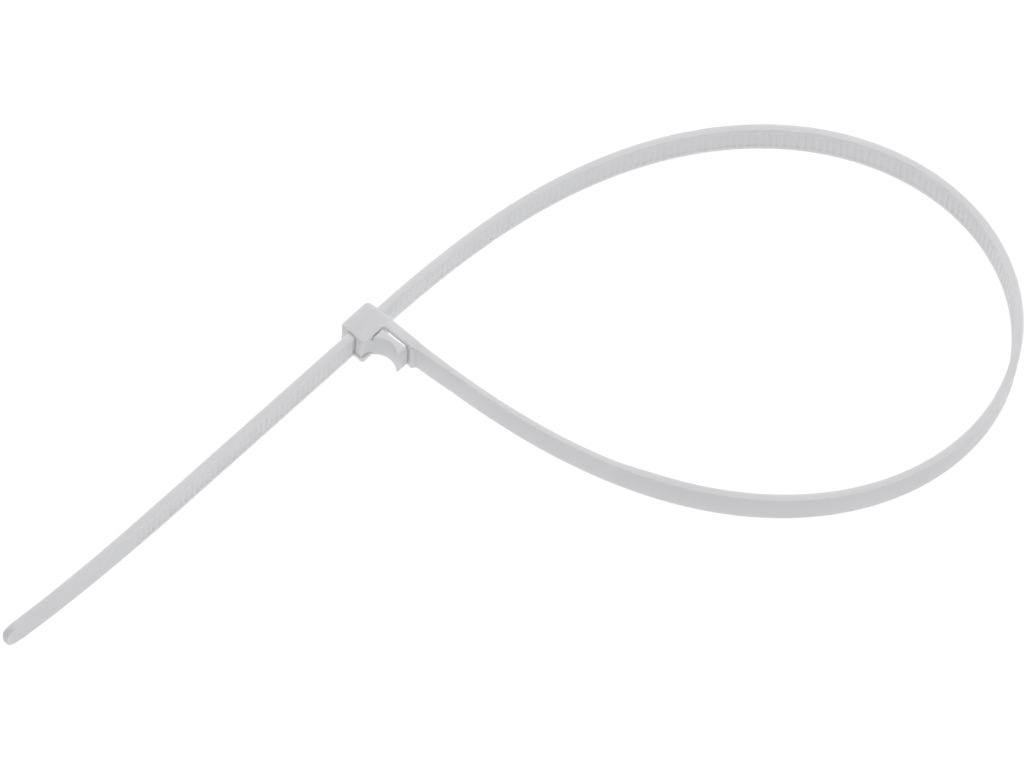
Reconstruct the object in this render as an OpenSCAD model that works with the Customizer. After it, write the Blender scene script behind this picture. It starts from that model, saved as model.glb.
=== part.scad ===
// A releasable cable tie of natural nylon, one moulding, pulled through its own head
// into a loop and lying on the edge of its strap.
// X runs along the neck away from the head. Y runs through the slot, from the tail into
// the loop. Z runs across the strap. The origin is under the middle of the slot, on the
// plane that the head rests on.

/* [Strap] */
// Width of the strap
strap_w = 4.9; // [3.6:0.1:7.6]
// Thickness of the strap over its rails
strap_t = 1.15; // [1:0.05:1.6]
// Thickness of the plain strap near the neck
root_t = 0.9; // [0.7:0.05:0.95]
// Length of strap closed into the loop, from the slot to the neck
loop_len = 236.3; // [160:0.1:500]
// Length of tail pulled past the head
tail_len = 70; // [50:1:250]

/* [Teeth] */
// Pitch of the teeth
tooth_pitch = 1.1; // [1:0.05:1.6]
// Depth of the teeth
tooth_h = 0.3; // [0.25:0.05:0.5]
// Width of the smooth rail on each side of the teeth
rail_w = 0.75; // [0.5:0.05:1.2]
// Length of plain strap between the teeth and the neck
root_plain = 40; // [20:1:80]
// Length of plain strap between the teeth and the tip
tip_plain = 24; // [12:1:45]

/* [Tip] */
// Length over which the tail narrows
taper_len = 32; // [15:1:45]
// How much narrower the tail is where its round end begins
tip_narrowing = 0.9; // [0.2:0.1:1.5]
// Thickness of the very end
tip_t = 0.95; // [0.6:0.05:1.2]
// Length over which the end thins
nose_len = 3; // [1:0.5:10]
// Length of the round end
tip_round = 2.1; // [1.5:0.1:3.5]
// Radius of the bead across the very end
bead_r = 0.2; // [0.15:0.05:0.35]
// Length of the end that has taken a curl
curl_len = 40; // [10:1:45]
// Angle that the end has curled through
curl_angle = 6; // [0:1:20]

/* [Head] */
// Length of the head along the slot
head_len = 6.2; // [5.6:0.1:9]
// Wall behind the back of the strap
end_wall = 1.6; // [1:0.05:2.5]
// How much thicker that wall is at the mouth of the slot than at the exit
end_swell = 0.15; // [0:0.05:0.4]
// Wall on each edge of the strap
cheek = 0.45; // [0.4:0.05:1.5]
// Running clearance round the strap in the slot
slot_gap = 0.12; // [0.05:0.01:0.2]
// Flare of the slot's mouth, on the loop side
mouth_flare = 0.3; // [0.1:0.05:0.5]
// Depth of the room for the pawl, in front of the slot
pawl_room = 1.7; // [1.6:0.05:3]

/* [Neck] */
// Length of the neck in front of the head
neck_len = 6.1; // [5.5:0.1:9]
// How far the neck stands out beside each edge of the strap
neck_side = 0.25; // [0.1:0.05:0.5]
// Thickness of the neck at the head
neck_root_t = 1.8; // [1.6:0.05:2.4]
// Thickness of the neck at the far end of its window
neck_t = 1.4; // [1.2:0.05:1.6]
// Thickness of the neck where the strap begins
neck_end_t = 1.2; // [1.1:0.05:1.6]
// Length over which the strap thins down from the neck
fade_len = 7; // [2:0.1:12]
// How far the inner face of the neck lies below the mouth of the slot
neck_drop = 0.2; // [0.05:0.05:0.3]
// Angle that the pull of the loop has bent the end of the neck through
neck_bend = 0.9; // [0:0.1:3]
// Width of the neck on each side of its window
window_rim = 0.75; // [0.6:0.05:1]
// Height of the rib that ends the finger space
rib_h = 0.15; // [0.1:0.05:0.4]

/* [Pawl and lever] */
// How far the pawl and its lever stay inside each edge of the strap
pawl_inset = 0.35; // [0.25:0.05:0.6]
// Number of teeth on the pawl
pawl_teeth = 3; // [2:1:3]
// Clearance between the pawl's teeth and the strap's
mesh_gap = 0.12; // [0.05:0.01:0.16]
// Thickness of the bar that carries the pawl
bar_t = 1.2; // [0.9:0.05:1.5]
// Thickness of the pawl's living hinge
hinge_t = 0.5; // [0.3:0.05:0.7]
// Length of the living hinge
hinge_len = 0.5; // [0.3:0.05:0.7]
// Length of the lever in front of the head
lever_len = 5.1; // [4.2:0.1:5.2]
// Gap between the end of the lever and the neck
lever_gap = 0.45; // [0.4:0.05:0.8]
// Gap between the lever and the neck where the lever leaves the head
root_gap = 0.4; // [0.3:0.05:0.6]
// Thickness of the lever at its waist
waist_t = 1.1; // [0.8:0.05:1.4]
// Radius of the hollow that the fingertip presses
thumb_r = 3.1; // [2.8:0.1:5]

/* [Hidden] */
NYLON = [0.87, 0.88, 0.88];
DEG = 180 / PI;
past = 1; // how far a cut runs past the face that it opens

// The head, its slot and the room for the pawl
slot_x = strap_t / 2 + slot_gap;
head_back = -slot_x - end_wall;
head_front = slot_x + pawl_room;
mouth_y = head_len / 2;
exit_y = -head_len / 2;
head_w = strap_w + 2 * (slot_gap + cheek);
pawl_w = strap_w - 2 * pawl_inset;
mid_z = head_w / 2;
crown_r = 1.5; // the domed face round the mouth
crown = 0.5; // how far that face falls towards the back of the head
slant = 0.2; // the same for the exit face
edge_r = 1; // edges that run along the slot
mouth_r = 0.9; // edges round the mouth
exit_r = 0.45; // edges round the exit
corner_r = 0.45;
back_r = 1.2; // the corner between the mouth and the back
front_r = 0.7; // the corner between the exit and the front
pawl_side_gap = 0.15;
window_x0 = head_front - 0.5;
room_x = head_front - 0.2; // the room reaches this far under the neck

// The neck
neck_w = strap_w + 2 * neck_side;
window_w = neck_w - 2 * window_rim;
neck_x = head_front + neck_len;
neck_end_x = neck_x + 0.5; // the neck runs this far over the strap
sink = 0.1; // how far the end of the neck dips under the strap's faces
neck_y = mouth_y - neck_drop; // inner face of the neck
neck_mid_y = neck_y + strap_t / 2 - root_t; // the plain strap's inner face meets the neck's
neck_overlap = 0.6;

// The lever lies along the outer face of the neck
lever_x = head_front + lever_len;
rib_r = 0.5;
function along_lever(x) = (x - head_front) / lever_len;
function neck_outer_y(x) = neck_y - neck_root_t + (neck_root_t - neck_t) * along_lever(x);
function lever_inner_y(x) = neck_outer_y(x) - root_gap - (lever_gap - root_gap) * along_lever(x);

// The pawl hangs from the bar at the mouth of the slot
bar_y = mouth_y - bar_t;
pawl_top_y = bar_y - hinge_len;
pawl_end_y = exit_y + 0.4;
pawl_face_x = strap_t / 2 + 0.18;
pawl_back_x = head_front - 0.4;
hinge_x = pawl_back_x - hinge_t - 0.25;
teeth_w = strap_w - 2 * rail_w;

// A rounded outline, from corners given as [x, y, radius]
function unit(v) = v / norm(v);
function flat(p) = [p[0], p[1]];
function corner(a, b, c, r) = r <= 0 ? [b] : let (
    u = unit(a - b), v = unit(c - b), half = acos(u * v) / 2,
    mid = b + unit(u + v) * r / sin(half),
    from = b + u * r / tan(half) - mid,
    turn = (cross(u, v) > 0 ? -1 : 1) * (180 - 2 * half),
    start = atan2(from[1], from[0])
) [for (i = [0:6]) mid + r * [cos(start + turn * i / 6), sin(start + turn * i / 6)]];
function rounded(p) = let (n = len(p)) [for (i = [0:n - 1]) each
    corner(flat(p[(i + n - 1) % n]), flat(p[i]), flat(p[(i + 1) % n]), p[i][2])];

// The loop is a bent spring strip: its curvature changes evenly from place to place.
// The three unknowns of that rule, g, are solved so that the strip leaves the slot
// square and ends square on the neck. A state is [x, y, heading in degrees].
loop_steps = 124;
loop_start = [0, mouth_y, 90];
loop_end = [neck_x, neck_mid_y, neck_bend - 180];
first_guess = [-0.6, -12.9, -12.5];
function bend(g, q) = DEG * (g[0] + (g[1] * q[0] + g[2] * q[1]) / loop_len) / loop_len;
function moved(q, heading, turn, ds) = [
    q[0] + ds * cos(heading), q[1] + ds * sin(heading), q[2] + ds * turn];
function stepped(g, q, ds) = let (m = moved(q, q[2], bend(g, q), ds / 2))
    moved(q, m[2], bend(g, m), ds);
function loop_states(g) = [for (i = 0, q = loop_start; i <= loop_steps;
    i = i + 1, q = stepped(g, q, loop_len / loop_steps)) q];
function miss(g) = let (d = loop_states(g)[loop_steps] - loop_end)
    [d[0] / loop_len, d[1] / loop_len, d[2] / DEG];
function improved(g) = let (
    h = 0.001, e = miss(g),
    a = (miss(g + [h, 0, 0]) - e) / h,
    b = (miss(g + [0, h, 0]) - e) / h,
    c = (miss(g + [0, 0, h]) - e) / h,
    size = a * cross(b, c)
) g - [e * cross(b, c), a * cross(e, c), a * cross(b, e)] / size;
function solved(g, rounds) = rounds == 0 ? g : solved(improved(g), rounds - 1);
loop_path = loop_states(solved(first_guess, 8));

// The tail runs straight out of the head, and its end curls towards the strap's back
tail_steps = 20;
function tail_heading(s) = 90 - curl_angle * pow(max(0, (s - tail_len + curl_len) / curl_len), 2);
curl_path = [for (i = 0, ds = curl_len / tail_steps, q = [0, exit_y - tail_len + curl_len, 90];
    i <= tail_steps; i = i + 1,
    h = tail_heading(tail_len - curl_len + (i - 0.5) * ds),
    q = [q[0] - ds * cos(h), q[1] - ds * sin(h), tail_heading(tail_len - curl_len + i * ds)]) q];
tip = curl_path[tail_steps];
tip_w = strap_w - tip_narrowing;

// The middle line of the strap at a distance s from the middle of the slot
function between(path, u) = let (i = max(0, min(len(path) - 2, floor(u))))
    path[i] + (path[i + 1] - path[i]) * (u - i);
function on_strap(s) =
    s > mouth_y ? between(loop_path, (s - mouth_y) / loop_len * loop_steps)
    : s > exit_y - tail_len + curl_len ? [0, s, 90]
    : between(curl_path, (exit_y - tail_len + curl_len - s) / curl_len * tail_steps);
function beside(q, d) = [q[0] + d * sin(q[2]), q[1] - d * cos(q[2])];

// How far the toothed face stands from the middle line: the strap is thinner on that
// side where it is plain, next to the neck and at the tip
ramp_len = 6;
tip_s = exit_y - tail_len;
root_s = mouth_y + loop_len - root_plain;
function share(u) = min(1, max(0, u));
function face_at(s) = strap_t / 2 - (strap_t - root_t) * share((s - root_s) / ramp_len)
    - (strap_t - tip_t) * share((tip_s + nose_len - s) / nose_len);

// How far the smooth face stands on the other side: the strap thickens into the neck
function back_at(s) = strap_t / 2
    + (neck_end_t - root_t) * share((s - mouth_y - loop_len + fade_len) / fade_len);

// The strap from its tip to just inside the neck, as [state, toothed face, smooth face]
strap_line = concat(
    [for (s = [tip_s, tip_s + nose_len]) [on_strap(s), face_at(s), back_at(s)]],
    [for (i = [1:tail_steps]) let (s = tip_s + curl_len * i / tail_steps)
        if (s > tip_s + nose_len) [on_strap(s), face_at(s), back_at(s)]],
    [for (i = [0:loop_steps]) let (s = mouth_y + loop_len * i / loop_steps)
        [loop_path[i], face_at(s), back_at(s)]],
    [[moved(loop_end, loop_end[2], 0, neck_overlap), root_t - strap_t / 2,
        strap_t / 2 + neck_end_t - root_t]]);

// Teeth are counted from the middle of the slot, and each has its steep side to the loop
first_tooth = ceil((tip_s + tip_plain) / tooth_pitch);
last_tooth = floor(root_s / tooth_pitch) - 1;
crest_at = 0.8;
tooth_face = strap_t / 2;
tooth_root = strap_t / 2 - tooth_h;

module strap_band() {
    linear_extrude(strap_w)
        polygon(concat(
            [for (q = strap_line) beside(q[0], q[1])],
            [for (i = [len(strap_line) - 1:-1:0])
                beside(strap_line[i][0], -strap_line[i][2])]));
}

// What is taken out of the strap between its rails, with the teeth left standing
module tooth_channel() {
    translate([0, 0, rail_w])
        linear_extrude(teeth_w)
            polygon(concat(
                [for (k = [first_tooth:last_tooth]) each [
                    beside(on_strap(k * tooth_pitch), tooth_root),
                    beside(on_strap((k + crest_at) * tooth_pitch), tooth_face - sink / 2),
                    beside(on_strap((k + 0.999) * tooth_pitch), tooth_face - sink / 2)]],
                [for (k = [last_tooth + 1:-2:first_tooth])
                    beside(on_strap(k * tooth_pitch), tooth_face + past / 2)]));
}

// One side of the cut that narrows the tail and rounds its end
module tip_cut() {
    arc = [for (a = [0:15:90]) [tip_round * (1 - sin(a)), tip_w / 2 * cos(a)]];
    translate([tip[0], tip[1], strap_w / 2])
        rotate([90, 0, tip[2]])
            translate([0, 0, -tip_w * 2])
                linear_extrude(tip_w * 4)
                    polygon(concat(
                        [[taper_len, strap_w / 2]], arc,
                        [[-past, 0], [-past, strap_w], [taper_len, strap_w]]));
}

module tip_bead() {
    at = beside(moved(tip, tip[2], 0, 2 * bead_r), face_at(tip_s) - bead_r / 2);
    translate([at[0], at[1], 0])
        cylinder(h = strap_w, r = bead_r, $fn = 24);
}

module strap() {
    translate([0, 0, mid_z - strap_w / 2])
        difference() {
            union() {
                strap_band();
                tip_bead();
            }
            tooth_channel();
            tip_cut();
            translate([0, 0, strap_w])
                mirror([0, 0, 1])
                    tip_cut();
        }
}

// The head and neck seen along Z
module body_plan() {
    polygon(rounded([
        [head_back, exit_y + slant, corner_r],
        [head_front, exit_y, front_r],
        [head_front, neck_outer_y(head_front), 0],
        [lever_x, neck_outer_y(lever_x), 0],
        [neck_end_x, neck_y - neck_end_t + sink, 0],
        [neck_end_x, neck_y - sink, 0],
        [neck_x, neck_y, 0],
        [head_front + 1, neck_y, crown_r],
        [slot_x, mouth_y, crown_r],
        [head_back - end_swell, mouth_y - crown, back_r]]));
}

// The head and neck seen along Y, as half widths mirrored about the middle of the strap
module body_side() {
    half = [
        [head_front - 0.6, head_w / 2, 1.2],
        [head_front + 0.4, neck_w / 2, 0.8],
        [lever_x + 0.4, neck_w / 2, 1.5],
        [neck_end_x, strap_w / 2 - sink, 0]];
    polygon(rounded(concat(
        [[head_back - end_swell, head_w / 2, edge_r]], half,
        [for (i = [len(half) - 1:-1:0]) [half[i][0], -half[i][1], half[i][2]]],
        [[head_back - end_swell, -head_w / 2, edge_r]])));
}

// The head and neck seen along X
module body_end() {
    polygon(rounded([for (s = [[-1, -1], [1, -1], [1, 1], [-1, 1]])
        [s[0] * head_len / 2, s[1] * head_w / 2, s[0] > 0 ? mouth_r : exit_r]]));
}

module body_solid() {
    long = neck_end_x - head_back + 2 * past;
    intersection() {
        linear_extrude(head_w)
            body_plan();
        translate([0, head_len / 2 + past, mid_z])
            rotate([90, 0, 0])
                linear_extrude(head_len + 2 * past)
                    body_side();
        translate([head_back - past, 0, mid_z])
            rotate([90, 0, 90])
                linear_extrude(long)
                    body_end();
    }
}

module slot_cut() {
    tall = strap_w + 2 * slot_gap;
    translate([0, 0, mid_z - tall / 2])
        linear_extrude(tall)
            polygon([
                [-slot_x, exit_y - past],
                [slot_x, exit_y - past],
                [slot_x, mouth_y + past],
                [-slot_x - 2 * mouth_flare, mouth_y + mouth_flare],
                [-slot_x, mouth_y - mouth_flare]]);
}

// Room for the pawl to swing, open at the exit and at the front for the lever
module pawl_room_cut() {
    wide = pawl_w + 2 * pawl_side_gap;
    open_y = neck_y - neck_root_t;
    translate([0, 0, mid_z - wide / 2])
        linear_extrude(wide)
            polygon([
                [0, exit_y - past],
                [head_front + past, exit_y - past],
                [head_front + past, open_y],
                [room_x, open_y],
                [room_x, bar_y],
                [0, bar_y]]);
}

module window_cut() {
    low_y = neck_y - neck_root_t - root_gap / 2;
    translate([window_x0, low_y, mid_z - window_w / 2])
        cube([lever_x - window_x0 - 0.4, mouth_y + past - low_y, window_w]);
}

module rib() {
    translate([lever_x + rib_r, neck_outer_y(lever_x) - rib_h + rib_r, mid_z - neck_w / 2])
        cylinder(h = neck_w, r = rib_r, $fn = 32);
}

module head_and_neck() {
    difference() {
        union() {
            body_solid();
            rib();
        }
        slot_cut();
        pawl_room_cut();
        window_cut();
    }
}

// The pawl on its living hinge, and the lever that swings it out of the teeth
module pawl_plan() {
    waist_x = head_front + lever_len / 2;
    hollow = [waist_x, lever_inner_y(waist_x) - waist_t - thumb_r];
    stop = acos((lever_x - 0.35 - hollow[0]) / thumb_r);
    start = 180 - acos(min(0.95, (hollow[0] - pawl_back_x) / thumb_r));
    polygon(rounded(concat(
        [[hinge_x, bar_y + sink, 0],
         [hinge_x, pawl_top_y, 0.1],
         [pawl_face_x, pawl_top_y, 0.15],
         [pawl_face_x, pawl_end_y, 0.3],
         [pawl_back_x, pawl_end_y, 0.4]],
        [for (i = [0:12]) let (a = start + (stop - start) * i / 12)
            [hollow[0] + thumb_r * cos(a), hollow[1] + thumb_r * sin(a), 0]],
        [[lever_x, hollow[1] + thumb_r * sin(stop) + 0.1, 0.35],
         [lever_x, lever_inner_y(lever_x), 0.25],
         [pawl_back_x, lever_inner_y(pawl_back_x), 0.2],
         [pawl_back_x, pawl_top_y, 0.1],
         [hinge_x + hinge_t, pawl_top_y, 0.1],
         [hinge_x + hinge_t, bar_y + sink, 0]])));
}

module lever_side() {
    tip_r = 0.8;
    polygon(rounded([
        [0, -pawl_w / 2, 0],
        [lever_x, -pawl_w / 2, tip_r],
        [lever_x, pawl_w / 2, tip_r],
        [0, pawl_w / 2, 0]]));
}

module pawl_teeth_solid() {
    wide = teeth_w - 2 * mesh_gap;
    back = pawl_face_x + 0.3;
    low = 1 - pawl_teeth;
    root_x = tooth_root + mesh_gap;
    crest_x = tooth_face - sink / 2 + mesh_gap;
    translate([0, 0, mid_z - wide / 2])
        linear_extrude(wide)
            polygon(concat(
                [[back, low * tooth_pitch + mesh_gap]],
                [for (k = [low:0]) each [
                    [root_x, k * tooth_pitch + mesh_gap],
                    [crest_x, (k + crest_at) * tooth_pitch + mesh_gap],
                    [crest_x, (k + 1) * tooth_pitch + mesh_gap]]],
                [[back, tooth_pitch + mesh_gap]]));
}

module pawl_and_lever() {
    intersection() {
        translate([0, 0, mid_z - pawl_w / 2])
            linear_extrude(pawl_w)
                pawl_plan();
        translate([0, head_len, mid_z])
            rotate([90, 0, 0])
                linear_extrude(head_len * 2)
                    lever_side();
    }
    pawl_teeth_solid();
}

module cable_tie() {
    color(NYLON) {
        strap();
        head_and_neck();
        pawl_and_lever();
    }
}

cable_tie();
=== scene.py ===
import math

import bmesh
import bpy
import numpy as np
from mathutils import Matrix, Vector


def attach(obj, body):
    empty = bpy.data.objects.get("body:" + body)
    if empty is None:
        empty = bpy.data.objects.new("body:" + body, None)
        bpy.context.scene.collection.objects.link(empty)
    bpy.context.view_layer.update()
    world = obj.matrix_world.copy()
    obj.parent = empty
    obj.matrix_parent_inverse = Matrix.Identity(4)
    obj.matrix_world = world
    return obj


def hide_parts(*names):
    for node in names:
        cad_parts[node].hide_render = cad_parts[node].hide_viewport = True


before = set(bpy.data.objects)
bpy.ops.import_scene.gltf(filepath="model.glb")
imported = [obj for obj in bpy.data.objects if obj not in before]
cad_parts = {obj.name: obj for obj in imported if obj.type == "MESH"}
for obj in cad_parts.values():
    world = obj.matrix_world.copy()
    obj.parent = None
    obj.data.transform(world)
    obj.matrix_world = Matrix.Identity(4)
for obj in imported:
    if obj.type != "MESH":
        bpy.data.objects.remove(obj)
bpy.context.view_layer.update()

MM = 0.001

# Sizes in millimetres, the same as the CAD model's, apart from the relief of the teeth: they
# are shallower here, because the photograph shows no sign of them
STRAP_W, STRAP_T, ROOT_T, LOOP_LEN, TAIL_LEN = 4.9, 1.15, 0.9, 236.3, 70.0
PITCH, TOOTH_H, RAIL_W, ROOT_PLAIN, TIP_PLAIN = 1.1, 0.17, 0.75, 40.0, 24.0
TAPER_LEN, TIP_W, TIP_T, NOSE_LEN, TIP_ROUND, BEAD_R = 32.0, STRAP_W - 0.9, 0.95, 3.0, 2.1, 0.2
CURL_LEN, CURL_ANGLE = 40.0, math.radians(6)
HEAD_LEN, END_WALL, END_SWELL, CHEEK, SLOT_GAP, MOUTH_FLARE, PAWL_ROOM = 6.2, 1.6, 0.15, 0.45, 0.12, 0.3, 1.7
NECK_LEN, NECK_W, NECK_ROOT_T, NECK_T, NECK_END_T = 6.1, STRAP_W + 0.5, 1.85, 1.72, 1.2
FADE_LEN, NECK_DROP, NECK_BEND, WINDOW_W, RIB_H = 7.0, 0.2, math.radians(0.9), NECK_W - 1.5, 0.15
LEVER_W, PAWL_W, MESH_GAP, BAR_T, HINGE_T, HINGE_LEN = STRAP_W - 0.1, STRAP_W - 1.6, 0.12, 1.2, 0.5, 0.5
LEVER_LEN, LEVER_RISE, ROOT_GAP, WAIST_T, THUMB_R = 5.1, 0.2, 0.27, 0.9, 3.1

SLOT_X = STRAP_T / 2 + SLOT_GAP
HEAD_BACK, HEAD_FRONT = -SLOT_X - END_WALL, SLOT_X + PAWL_ROOM
MOUTH_Y, EXIT_Y = HEAD_LEN / 2, -HEAD_LEN / 2
HEAD_W = STRAP_W + 2 * (SLOT_GAP + CHEEK)
MID_Z = HEAD_W / 2
NECK_X, NECK_Y = HEAD_FRONT + NECK_LEN, MOUTH_Y - NECK_DROP
NECK_END_X = NECK_X + 0.5
LEVER_X = HEAD_FRONT + LEVER_LEN
TIP_S = EXIT_Y - TAIL_LEN
END_S = MOUTH_Y + LOOP_LEN
ROOT_S = END_S - ROOT_PLAIN


# The middle line of the strap: the loop is a bent spring strip, whose curvature changes
# evenly from place to place, and it leaves the slot square and ends square on the neck
def loop_line(rule, steps=1416):
    x, y, heading = 0.0, MOUTH_Y, math.pi / 2
    ds = LOOP_LEN / steps
    line = [(x, y, heading)]

    def bend(x, y):
        return (rule[0] + (rule[1] * x + rule[2] * y) / LOOP_LEN) / LOOP_LEN

    for _ in range(steps):
        middle = heading + bend(x, y) * ds / 2
        xm, ym = x + math.cos(heading) * ds / 2, y + math.sin(heading) * ds / 2
        x, y = x + math.cos(middle) * ds, y + math.sin(middle) * ds
        heading += bend(xm, ym) * ds
        line.append((x, y, heading))
    return np.array(line)


def solve_loop():
    rule = np.array([-0.6, -12.9, -12.5])
    goal = np.array([NECK_X, NECK_Y + STRAP_T / 2 - ROOT_T, NECK_BEND - math.pi])
    scale = np.array([1 / LOOP_LEN, 1 / LOOP_LEN, 1])
    for _ in range(8):
        miss = (loop_line(rule, 354)[-1] - goal) * scale
        slope = np.array([((loop_line(rule + step, 354)[-1] - goal) * scale - miss) / 1e-4
                          for step in np.eye(3) * 1e-4]).T
        rule = rule - np.linalg.solve(slope, miss)
    return loop_line(rule)


def tail_line(steps=200):
    x, y = 0.0, EXIT_Y - TAIL_LEN + CURL_LEN
    ds = CURL_LEN / steps
    line = [(x, y, math.pi / 2)]
    for i in range(steps):
        heading = math.pi / 2 - CURL_ANGLE * ((i + 0.5) / steps) ** 2
        x, y = x - ds * math.cos(heading), y - ds * math.sin(heading)
        line.append((x, y, math.pi / 2 - CURL_ANGLE * ((i + 1) / steps) ** 2))
    return np.array(line)


NECK_OVERLAP = 0.6
LOOP, TAIL = solve_loop(), tail_line()
INSIDE = LOOP[-1] + NECK_OVERLAP * np.array([math.cos(LOOP[-1][2]), math.sin(LOOP[-1][2]), 0])
LINE = np.vstack([TAIL[::-1], LOOP, INSIDE])
LINE_S = np.concatenate([np.linspace(TIP_S, TIP_S + CURL_LEN, len(TAIL)),
                         np.linspace(MOUTH_Y, END_S, len(LOOP)), [END_S + NECK_OVERLAP]])


def on_strap(s):
    return [float(np.interp(s, LINE_S, LINE[:, i])) for i in range(3)]


def share(u):
    return min(1.0, max(0.0, u))


def smooth(u):
    u = share(u)
    return u * u * (3 - 2 * u)


def face_at(s):
    return (STRAP_T / 2 - (STRAP_T - ROOT_T) * smooth((s - ROOT_S) / 6)
            - (STRAP_T - TIP_T) * share((TIP_S + NOSE_LEN - s) / NOSE_LEN)
            + BEAD_R / 2 * max(0.0, 1 - ((s - TIP_S - 2 * BEAD_R) / BEAD_R) ** 2))


def back_at(s):
    return STRAP_T / 2 + (NECK_END_T - ROOT_T) * share((s - END_S + FADE_LEN) / FADE_LEN)


# Heights of the tooth along its pitch, as shares of the pitch and of the tooth
TOOTH = [(0.0, 0.05), (0.12, 0.1), (0.3, 0.33), (0.5, 0.65), (0.68, 0.92), (0.8, 1.0), (0.88, 0.9), (0.94, 0.45)]
FIRST_TOOTH = math.ceil((TIP_S + TIP_PLAIN) / PITCH)
LAST_TOOTH = math.floor(ROOT_S / PITCH) - 1


def stations():
    tip_x = [0.0, 0.03, 0.08, 0.15, 0.24, 0.34, 0.45, 0.56, 0.68, 0.82, 1.0, 1.2, 1.45, 1.7, 2.0, 2.3, 2.6, 3.0]
    rows = [(TIP_S + x, None) for x in tip_x]
    start, end = FIRST_TOOTH * PITCH, (LAST_TOOTH + 1) * PITCH
    rows += [(s, None) for s in np.arange(TIP_S + 3.6, start - 0.2, 0.8)]
    rows.append((start - 0.05, None))
    for k in range(FIRST_TOOTH, LAST_TOOTH + 1):
        rows += [((k + u) * PITCH, h) for u, h in TOOTH]
    rows += [(end - 0.02, 0.1), (end + 0.08, None)]
    rows += [(s, None) for s in np.arange(end + 0.6, END_S, 0.75)]
    rows.append((END_S + NECK_OVERLAP, None))
    return rows


def arc(cz, cd, r, start, steps=4):
    return [(cz + r * math.cos(math.radians(start + 90 * i / steps)),
             cd + r * math.sin(math.radians(start + 90 * i / steps))) for i in range(steps + 1)]


EDGE_R, FULLNESS = 0.12, 0.05


def section(s, tooth):
    x = s - TIP_S
    half = STRAP_W / 2 if x > TAPER_LEN else \
        TIP_W / 2 + (STRAP_W - TIP_W) / 2 * share((x - TIP_ROUND) / (TAPER_LEN - TIP_ROUND))
    if x < TIP_ROUND:
        half = TIP_W / 2 * math.sqrt(max(0.004, 1 - (1 - x / TIP_ROUND) ** 2))
    half += FULLNESS
    face, back = face_at(s) + FULLNESS, -back_at(s)
    if x < 0.4:
        middle, swell = (face + back) / 2, math.sqrt(max(0.02, 1 - (1 - x / 0.4) ** 2))
        face, back = middle + (face - middle) * swell, middle + (back - middle) * swell
    r = min(EDGE_R, half * 0.8, (face - back) * 0.45)
    floor = face if tooth is None else \
        face - TOOTH_H + (TOOTH_H - 0.02) * tooth
    wide = max(0.05, min(STRAP_W / 2 - RAIL_W, half - r - 0.05))
    slope = 0.3 * wide / (STRAP_W / 2 - RAIL_W)
    ring = arc(half - r, back + r, r, 270) + arc(half - r, face - r, r, 0)
    ring += [(wide + slope / 2, face), (wide, face - 0.15 * (face - floor)),
             (wide - slope / 2, floor + 0.15 * (face - floor)), (wide - slope, floor)]
    ring += [(-z, d) for z, d in reversed(ring)]
    return ring


def strap_mesh():
    mesh = bmesh.new()
    rings = []
    for s, tooth in stations():
        x, y, heading = on_strap(s)
        rings.append([mesh.verts.new((x + d * math.sin(heading), y - d * math.cos(heading), MID_Z + z))
                      for z, d in section(s, tooth)])
    for a, b in zip(rings, rings[1:]):
        for i in range(len(a)):
            j = (i + 1) % len(a)
            mesh.faces.new((a[i], a[j], b[j], b[i]))
    mesh.faces.new(reversed(rings[0]))
    mesh.faces.new(rings[-1])
    bmesh.ops.recalc_face_normals(mesh, faces=mesh.faces)
    data = bpy.data.meshes.new("strap")
    mesh.to_mesh(data)
    mesh.free()
    return data


# The head is made of outlines pushed through each other, then its edges are softened
def rounded(points, steps=8):
    out = []
    n = len(points)
    for i, (x, y, r) in enumerate(points):
        b = Vector((x, y))
        if r <= 0:
            out.append(b)
            continue
        u = (Vector(points[i - 1][:2]) - b).normalized()
        v = (Vector(points[(i + 1) % n][:2]) - b).normalized()
        half = u.angle(v) / 2
        mid = b + (u + v).normalized() * (r / math.sin(half))
        start = b + u * (r / math.tan(half)) - mid
        turn = (-1 if u.cross(v) > 0 else 1) * (math.pi - 2 * half)
        for k in range(steps + 1):
            a = turn * k / steps
            out.append(mid + Vector((start.x * math.cos(a) - start.y * math.sin(a),
                                     start.x * math.sin(a) + start.y * math.cos(a))))
    return out


AXES = {"z": lambda a, b, h: (a, b, h), "y": lambda a, b, h: (a, h, b), "x": lambda a, b, h: (h, a, b)}


def prism(outline, axis, low, high):
    mesh = bmesh.new()
    place = AXES[axis]
    ends = [[mesh.verts.new(place(p[0], p[1], h)) for p in outline] for h in (low, high)]
    for i in range(len(outline)):
        j = (i + 1) % len(outline)
        mesh.faces.new((ends[0][i], ends[0][j], ends[1][j], ends[1][i]))
    mesh.faces.new(ends[0])
    mesh.faces.new(ends[1])
    bmesh.ops.recalc_face_normals(mesh, faces=mesh.faces)
    data = bpy.data.meshes.new("prism")
    mesh.to_mesh(data)
    mesh.free()
    made = bpy.data.objects.new("prism", data)
    bpy.context.scene.collection.objects.link(made)
    return made


def applied(target):
    graph = bpy.context.evaluated_depsgraph_get()
    data = bpy.data.meshes.new_from_object(target.evaluated_get(graph))
    target.modifiers.clear()
    target.data = data


def boolean(target, tool, operation):
    step = target.modifiers.new("step", "BOOLEAN")
    step.operation, step.object, step.solver = operation, tool, "EXACT"
    applied(target)
    bpy.data.objects.remove(tool)


def neck_outer_y(x):
    return NECK_Y - NECK_ROOT_T + (NECK_ROOT_T - NECK_T) * (x - HEAD_FRONT) / LEVER_LEN


def lever_inner_y(x):
    return neck_outer_y(HEAD_FRONT) - ROOT_GAP + LEVER_RISE * (x - HEAD_FRONT) / LEVER_LEN


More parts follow.
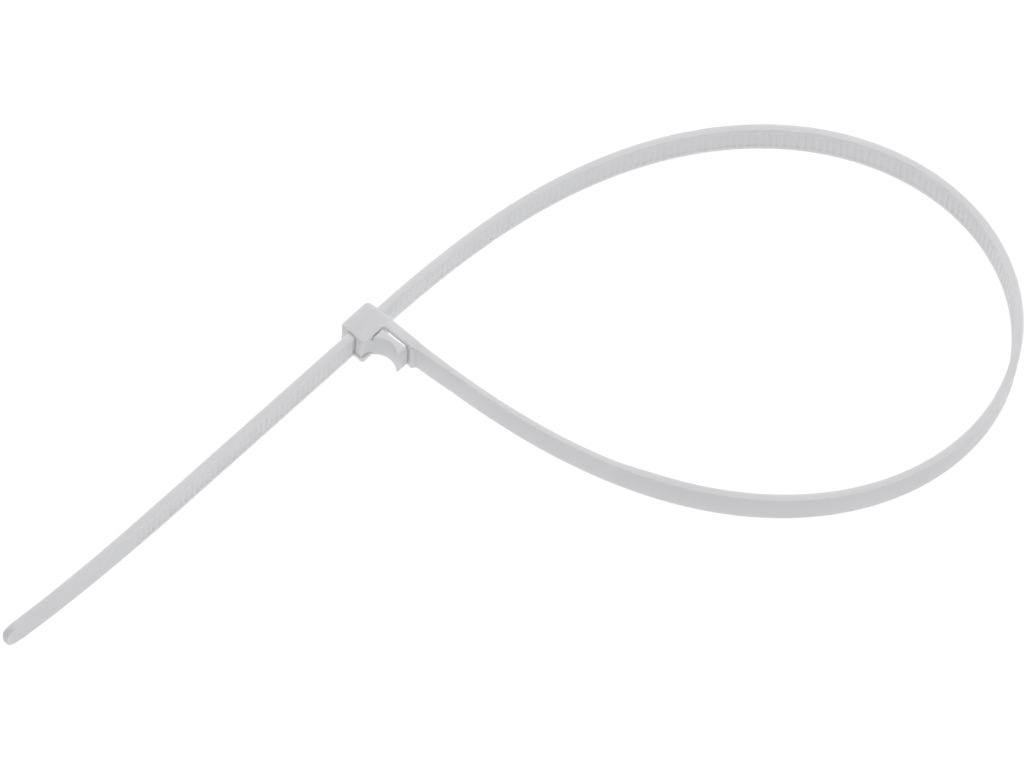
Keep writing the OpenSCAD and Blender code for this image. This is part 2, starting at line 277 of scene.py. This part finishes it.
def circle(cx, cy, r, steps=40):
    return [(cx + r * math.cos(2 * math.pi * i / steps), cy + r * math.sin(2 * math.pi * i / steps))
            for i in range(steps)]


def outside_corner(edge, out, half, side, r):
    arc_points = [(edge - out * r * (1 - math.sin(math.radians(a))),
                   MID_Z + side * (half - r * (1 - math.cos(math.radians(a))))) for a in range(0, 91, 10)]
    return arc_points + [(edge + out, arc_points[-1][1]), (edge + out, MID_Z + side * (half + 1)),
                         (arc_points[0][0], MID_Z + side * (half + 1))]


def head_object():
    plan = rounded([
        (HEAD_BACK, EXIT_Y + 0.2, 0.45), (HEAD_FRONT, EXIT_Y - 0.1, 0.6),
        (HEAD_FRONT, neck_outer_y(HEAD_FRONT), 0), (LEVER_X, neck_outer_y(LEVER_X), 0),
        (NECK_END_X, NECK_Y - NECK_END_T + 0.1, 0), (NECK_END_X, NECK_Y - 0.1, 0), (NECK_X, NECK_Y, 0),
        (HEAD_FRONT + 1, NECK_Y, 1.5), (SLOT_X, MOUTH_Y, 1.5), (HEAD_BACK - END_SWELL, MOUTH_Y - 0.5, 1.2)])
    half = [(HEAD_FRONT - 1.9, HEAD_W / 2, 3), (HEAD_FRONT - 0.2, HEAD_W / 2 - 0.3, 1.5), (HEAD_FRONT + 0.4, NECK_W / 2, 1),
            (LEVER_X + 0.4, NECK_W / 2, 1.5), (NECK_END_X, STRAP_W / 2 - 0.1, 0)]
    back = HEAD_BACK - END_SWELL
    sides = rounded([(back, HEAD_W / 2, 1.0)] + half + [(x, -z, r) for x, z, r in reversed(half)]
                    + [(back, -HEAD_W / 2, 1.0)])
    end = rounded([(EXIT_Y - 0.2, 0.2 - HEAD_W / 2, 0.6), (MOUTH_Y, -HEAD_W / 2, 0.9),
                   (MOUTH_Y, HEAD_W / 2, 0.9), (EXIT_Y - 0.2, HEAD_W / 2 - 0.2, 0.6)])
    head = prism(plan, "z", 0, HEAD_W)
    boolean(head, prism([(x, z + MID_Z) for x, z in sides], "y", EXIT_Y - 1, MOUTH_Y + 1), "INTERSECT")
    boolean(head, prism([(y, z + MID_Z) for y, z in end], "x", HEAD_BACK - 1, NECK_END_X + 1), "INTERSECT")
    for side in (1, -1):
        boolean(head, prism(outside_corner(HEAD_FRONT, 1, HEAD_W / 2 - 0.2, side, 0.3), "y", EXIT_Y - 1,
                            neck_outer_y(HEAD_FRONT) - 0.2), "DIFFERENCE")
        boolean(head, prism(outside_corner(neck_outer_y(LEVER_X) - 0.03, -1, NECK_W / 2, side, 0.4), "x",
                            HEAD_FRONT + 0.2, NECK_END_X + 1), "DIFFERENCE")
    rib = prism(circle(LEVER_X + 0.5, neck_outer_y(LEVER_X) - RIB_H + 0.5, 0.5), "z",
                MID_Z - NECK_W / 2 + 0.3, MID_Z + NECK_W / 2 - 0.3)
    boolean(head, rib, "UNION")
    tall = STRAP_W + 2 * SLOT_GAP
    slot = [(-SLOT_X, EXIT_Y - 1), (SLOT_X, EXIT_Y - 1), (SLOT_X, MOUTH_Y + 1),
            (-SLOT_X - 2 * MOUTH_FLARE, MOUTH_Y + MOUTH_FLARE), (-SLOT_X, MOUTH_Y - MOUTH_FLARE)]
    boolean(head, prism(slot, "z", MID_Z - tall / 2, MID_Z + tall / 2), "DIFFERENCE")
    wide, bar, open_y = PAWL_W + 0.26, MOUTH_Y - BAR_T, NECK_Y - NECK_ROOT_T
    room = [(0, EXIT_Y - 1), (HEAD_FRONT + 1, EXIT_Y - 1), (HEAD_FRONT + 1, open_y),
            (HEAD_FRONT - 0.2, open_y), (HEAD_FRONT - 0.2, bar), (0, bar)]
    boolean(head, prism(room, "z", MID_Z - wide / 2, MID_Z + wide / 2), "DIFFERENCE")
    near, far, low = HEAD_FRONT - 0.5, LEVER_X - 0.7, open_y - ROOT_GAP / 2
    rim_z, far_z = MID_Z + WINDOW_W / 2 + 0.28, MID_Z + WINDOW_W / 2 + 0.2
    window = [(near, 2 * MID_Z - rim_z), (far, 2 * MID_Z - far_z), (far, far_z), (near, rim_z)]
    boolean(head, prism(window, "y", low, MOUTH_Y + 1), "DIFFERENCE")
    boolean(head, lever_object(), "UNION")
    return head


def lever_object():
    bar, back_x = MOUTH_Y - BAR_T, HEAD_FRONT - 0.4
    top_y, end_y, face_x = bar - HINGE_LEN, EXIT_Y + 0.1, STRAP_T / 2 + FULLNESS + 0.08
    hinge_x, waist_x = back_x - HINGE_T - 0.25, HEAD_FRONT + LEVER_LEN / 2
    cx, cy = waist_x, lever_inner_y(waist_x) - WAIST_T - THUMB_R
    stop = math.acos((LEVER_X - 0.35 - cx) / THUMB_R)
    start = math.pi - math.acos(min(0.95, (cx - back_x) / THUMB_R))
    hollow = [(cx + THUMB_R * math.cos(start + (stop - start) * i / 28),
               cy + THUMB_R * math.sin(start + (stop - start) * i / 28), 0) for i in range(29)]
    plan = rounded([(hinge_x, bar + 0.1, 0), (hinge_x, top_y, 0.1), (face_x, top_y, 0.15),
                    (face_x, end_y, 0.1), (back_x, end_y, 0.4)] + hollow
                   + [(LEVER_X, cy + THUMB_R * math.sin(stop) + 0.1, 0.35), (LEVER_X, lever_inner_y(LEVER_X), 0.1),
                      (back_x, lever_inner_y(back_x), 0.2), (back_x, top_y, 0.1),
                      (hinge_x + HINGE_T, top_y, 0.1), (hinge_x + HINGE_T, bar + 0.1, 0)])
    half = [(0, PAWL_W / 2, 0), (HEAD_FRONT + 0.12, PAWL_W / 2, 0), (HEAD_FRONT + 0.12, LEVER_W / 2, 0.1),
            (LEVER_X, LEVER_W / 2, 0.8)]
    side = rounded(half + [(x, -z, r) for x, z, r in reversed(half)])
    lever = prism(plan, "z", 0, HEAD_W)
    boolean(lever, prism([(x, z + MID_Z) for x, z in side], "y", -HEAD_LEN, HEAD_LEN), "INTERSECT")
    root_x, crest_x = STRAP_T / 2 + FULLNESS - TOOTH_H + MESH_GAP, STRAP_T / 2 + FULLNESS + MESH_GAP
    teeth = [(face_x + 0.3, MESH_GAP - 2 * PITCH)]
    for k in (-2, -1, 0):
        teeth += [(root_x, k * PITCH + MESH_GAP), (crest_x, (k + 0.8) * PITCH + MESH_GAP),
                  (crest_x, (k + 1) * PITCH + MESH_GAP)]
    teeth.append((face_x + 0.3, PITCH + MESH_GAP))
    wide = STRAP_W / 2 - RAIL_W - MESH_GAP
    boolean(lever, prism(teeth, "z", MID_Z - wide, MID_Z + wide), "UNION")
    return lever


def moulding():
    head = head_object()
    soften = head.modifiers.new("voxels", "REMESH")
    soften.mode, soften.voxel_size = "VOXEL", 0.04
    soften = head.modifiers.new("soften", "SMOOTH")
    soften.factor, soften.iterations = 0.5, 18
    thin = head.modifiers.new("thin", "DECIMATE")
    thin.ratio = 0.1
    applied(head)
    made = bpy.data.objects.new("cable_tie_moulding", strap_mesh())
    bpy.context.scene.collection.objects.link(made)
    boolean(made, head, "UNION")
    whole = bmesh.new()
    whole.from_mesh(made.data)
    bmesh.ops.scale(whole, vec=(MM, MM, MM), verts=whole.verts)
    for face in whole.faces:
        face.smooth = True
    for edge in whole.edges:
        edge.smooth = len(edge.link_faces) == 2 and edge.calc_face_angle(0) < math.radians(38)
    whole.to_mesh(made.data)
    whole.free()
    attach(made, "root")
    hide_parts("cable_tie")
    return made


def material(name):
    mat = bpy.data.materials.new(name)
    mat.use_nodes = True
    nodes = mat.node_tree.nodes
    return mat, nodes, mat.node_tree.links, nodes["Principled BSDF"]


def nylon():
    mat, nodes, links, bsdf = material("natural_nylon")
    coord = nodes.new("ShaderNodeTexCoord")
    cloud = nodes.new("ShaderNodeTexNoise")
    cloud.inputs["Scale"].default_value = 90.0
    cloud.inputs["Detail"].default_value = 3.0
    links.new(coord.outputs["Object"], cloud.inputs["Vector"])
    tint = nodes.new("ShaderNodeValToRGB")
    tint.color_ramp.elements[0].position = 0.3
    tint.color_ramp.elements[0].color = (0.845, 0.848, 0.868, 1)
    tint.color_ramp.elements[1].position = 0.7
    tint.color_ramp.elements[1].color = (0.875, 0.878, 0.899, 1)
    links.new(cloud.outputs["Fac"], tint.inputs["Fac"])
    links.new(tint.outputs["Color"], bsdf.inputs["Base Color"])
    bsdf.inputs["Roughness"].default_value = 0.55
    bsdf.inputs["Specular IOR Level"].default_value = 0.35
    bsdf.inputs["Subsurface Weight"].default_value = 1.0
    bsdf.inputs["Subsurface Radius"].default_value = (1.0, 1.0, 1.0)
    bsdf.inputs["Subsurface Scale"].default_value = 0.0004
    return mat


tie = moulding()
tie.data.materials.clear()
tie.data.materials.append(nylon())

# The floor is white and lit so that it stays white, as in the photograph
bpy.ops.mesh.primitive_plane_add(size=3.0, location=(0.03, 0.03, -0.00002))
floor = bpy.context.object
floor.name = "floor"
floor_mat, nodes, links, bsdf = material("white_paper")
bsdf.inputs["Base Color"].default_value = (0.3, 0.3, 0.3, 1)
bsdf.inputs["Roughness"].default_value = 0.9
bsdf.inputs["Specular IOR Level"].default_value = 0.0
bsdf.inputs["Emission Color"].default_value = (1, 1, 1, 1)
bsdf.inputs["Emission Strength"].default_value = 0.83
floor.data.materials.append(floor_mat)

world = bpy.data.worlds.new("studio")
bpy.context.scene.world = world
world.use_nodes = True
world.node_tree.nodes["Background"].inputs["Color"].default_value = (1, 1, 1, 1)
world.node_tree.nodes["Background"].inputs["Strength"].default_value = 0.18


def softbox(name, where, size, power):
    data = bpy.data.lights.new(name, "AREA")
    data.shape = "DISK"
    data.size = size
    data.energy = power
    light = bpy.data.objects.new(name, data)
    light.location = where
    aim = Vector((0.03, 0.03, 0)) - Vector(where)
    light.rotation_euler = aim.to_track_quat("-Z", "Y").to_euler()
    bpy.context.scene.collection.objects.link(light)


softbox("top", (-0.08, 0.22, 0.6), 1.4, 5.2)

# The camera stands where the photograph was taken from
AZIMUTH, ELEVATION, ROLL = (math.radians(a) for a in (38.06, 58.28, -5.08))
FOCAL_PX, PX_PER_MM, PHOTO_W = 5324, 6.82, 1024
AIM = Vector((20.71, 9.39, 0.62)) * MM
ahead = Vector((-math.sin(AZIMUTH) * math.cos(ELEVATION),
                math.cos(AZIMUTH) * math.cos(ELEVATION),
                -math.sin(ELEVATION)))
right = Vector((math.cos(AZIMUTH), math.sin(AZIMUTH), 0))
up = right.cross(ahead)
side = right * math.cos(ROLL) - up * math.sin(ROLL)
top = right * math.sin(ROLL) + up * math.cos(ROLL)
camera_data = bpy.data.cameras.new("camera")
camera_data.sensor_width = 36
camera_data.lens = 36 * FOCAL_PX / PHOTO_W
camera_data.clip_start = 0.01
camera_data.clip_end = 20
camera = bpy.data.objects.new("camera", camera_data)
basis = Matrix((side, top, -ahead)).transposed().to_4x4()
camera.matrix_world = Matrix.Translation(AIM - ahead * (FOCAL_PX / PX_PER_MM * MM)) @ basis
bpy.context.scene.collection.objects.link(camera)
bpy.context.scene.camera = camera
bpy.context.scene.view_settings.view_transform = "Standard"
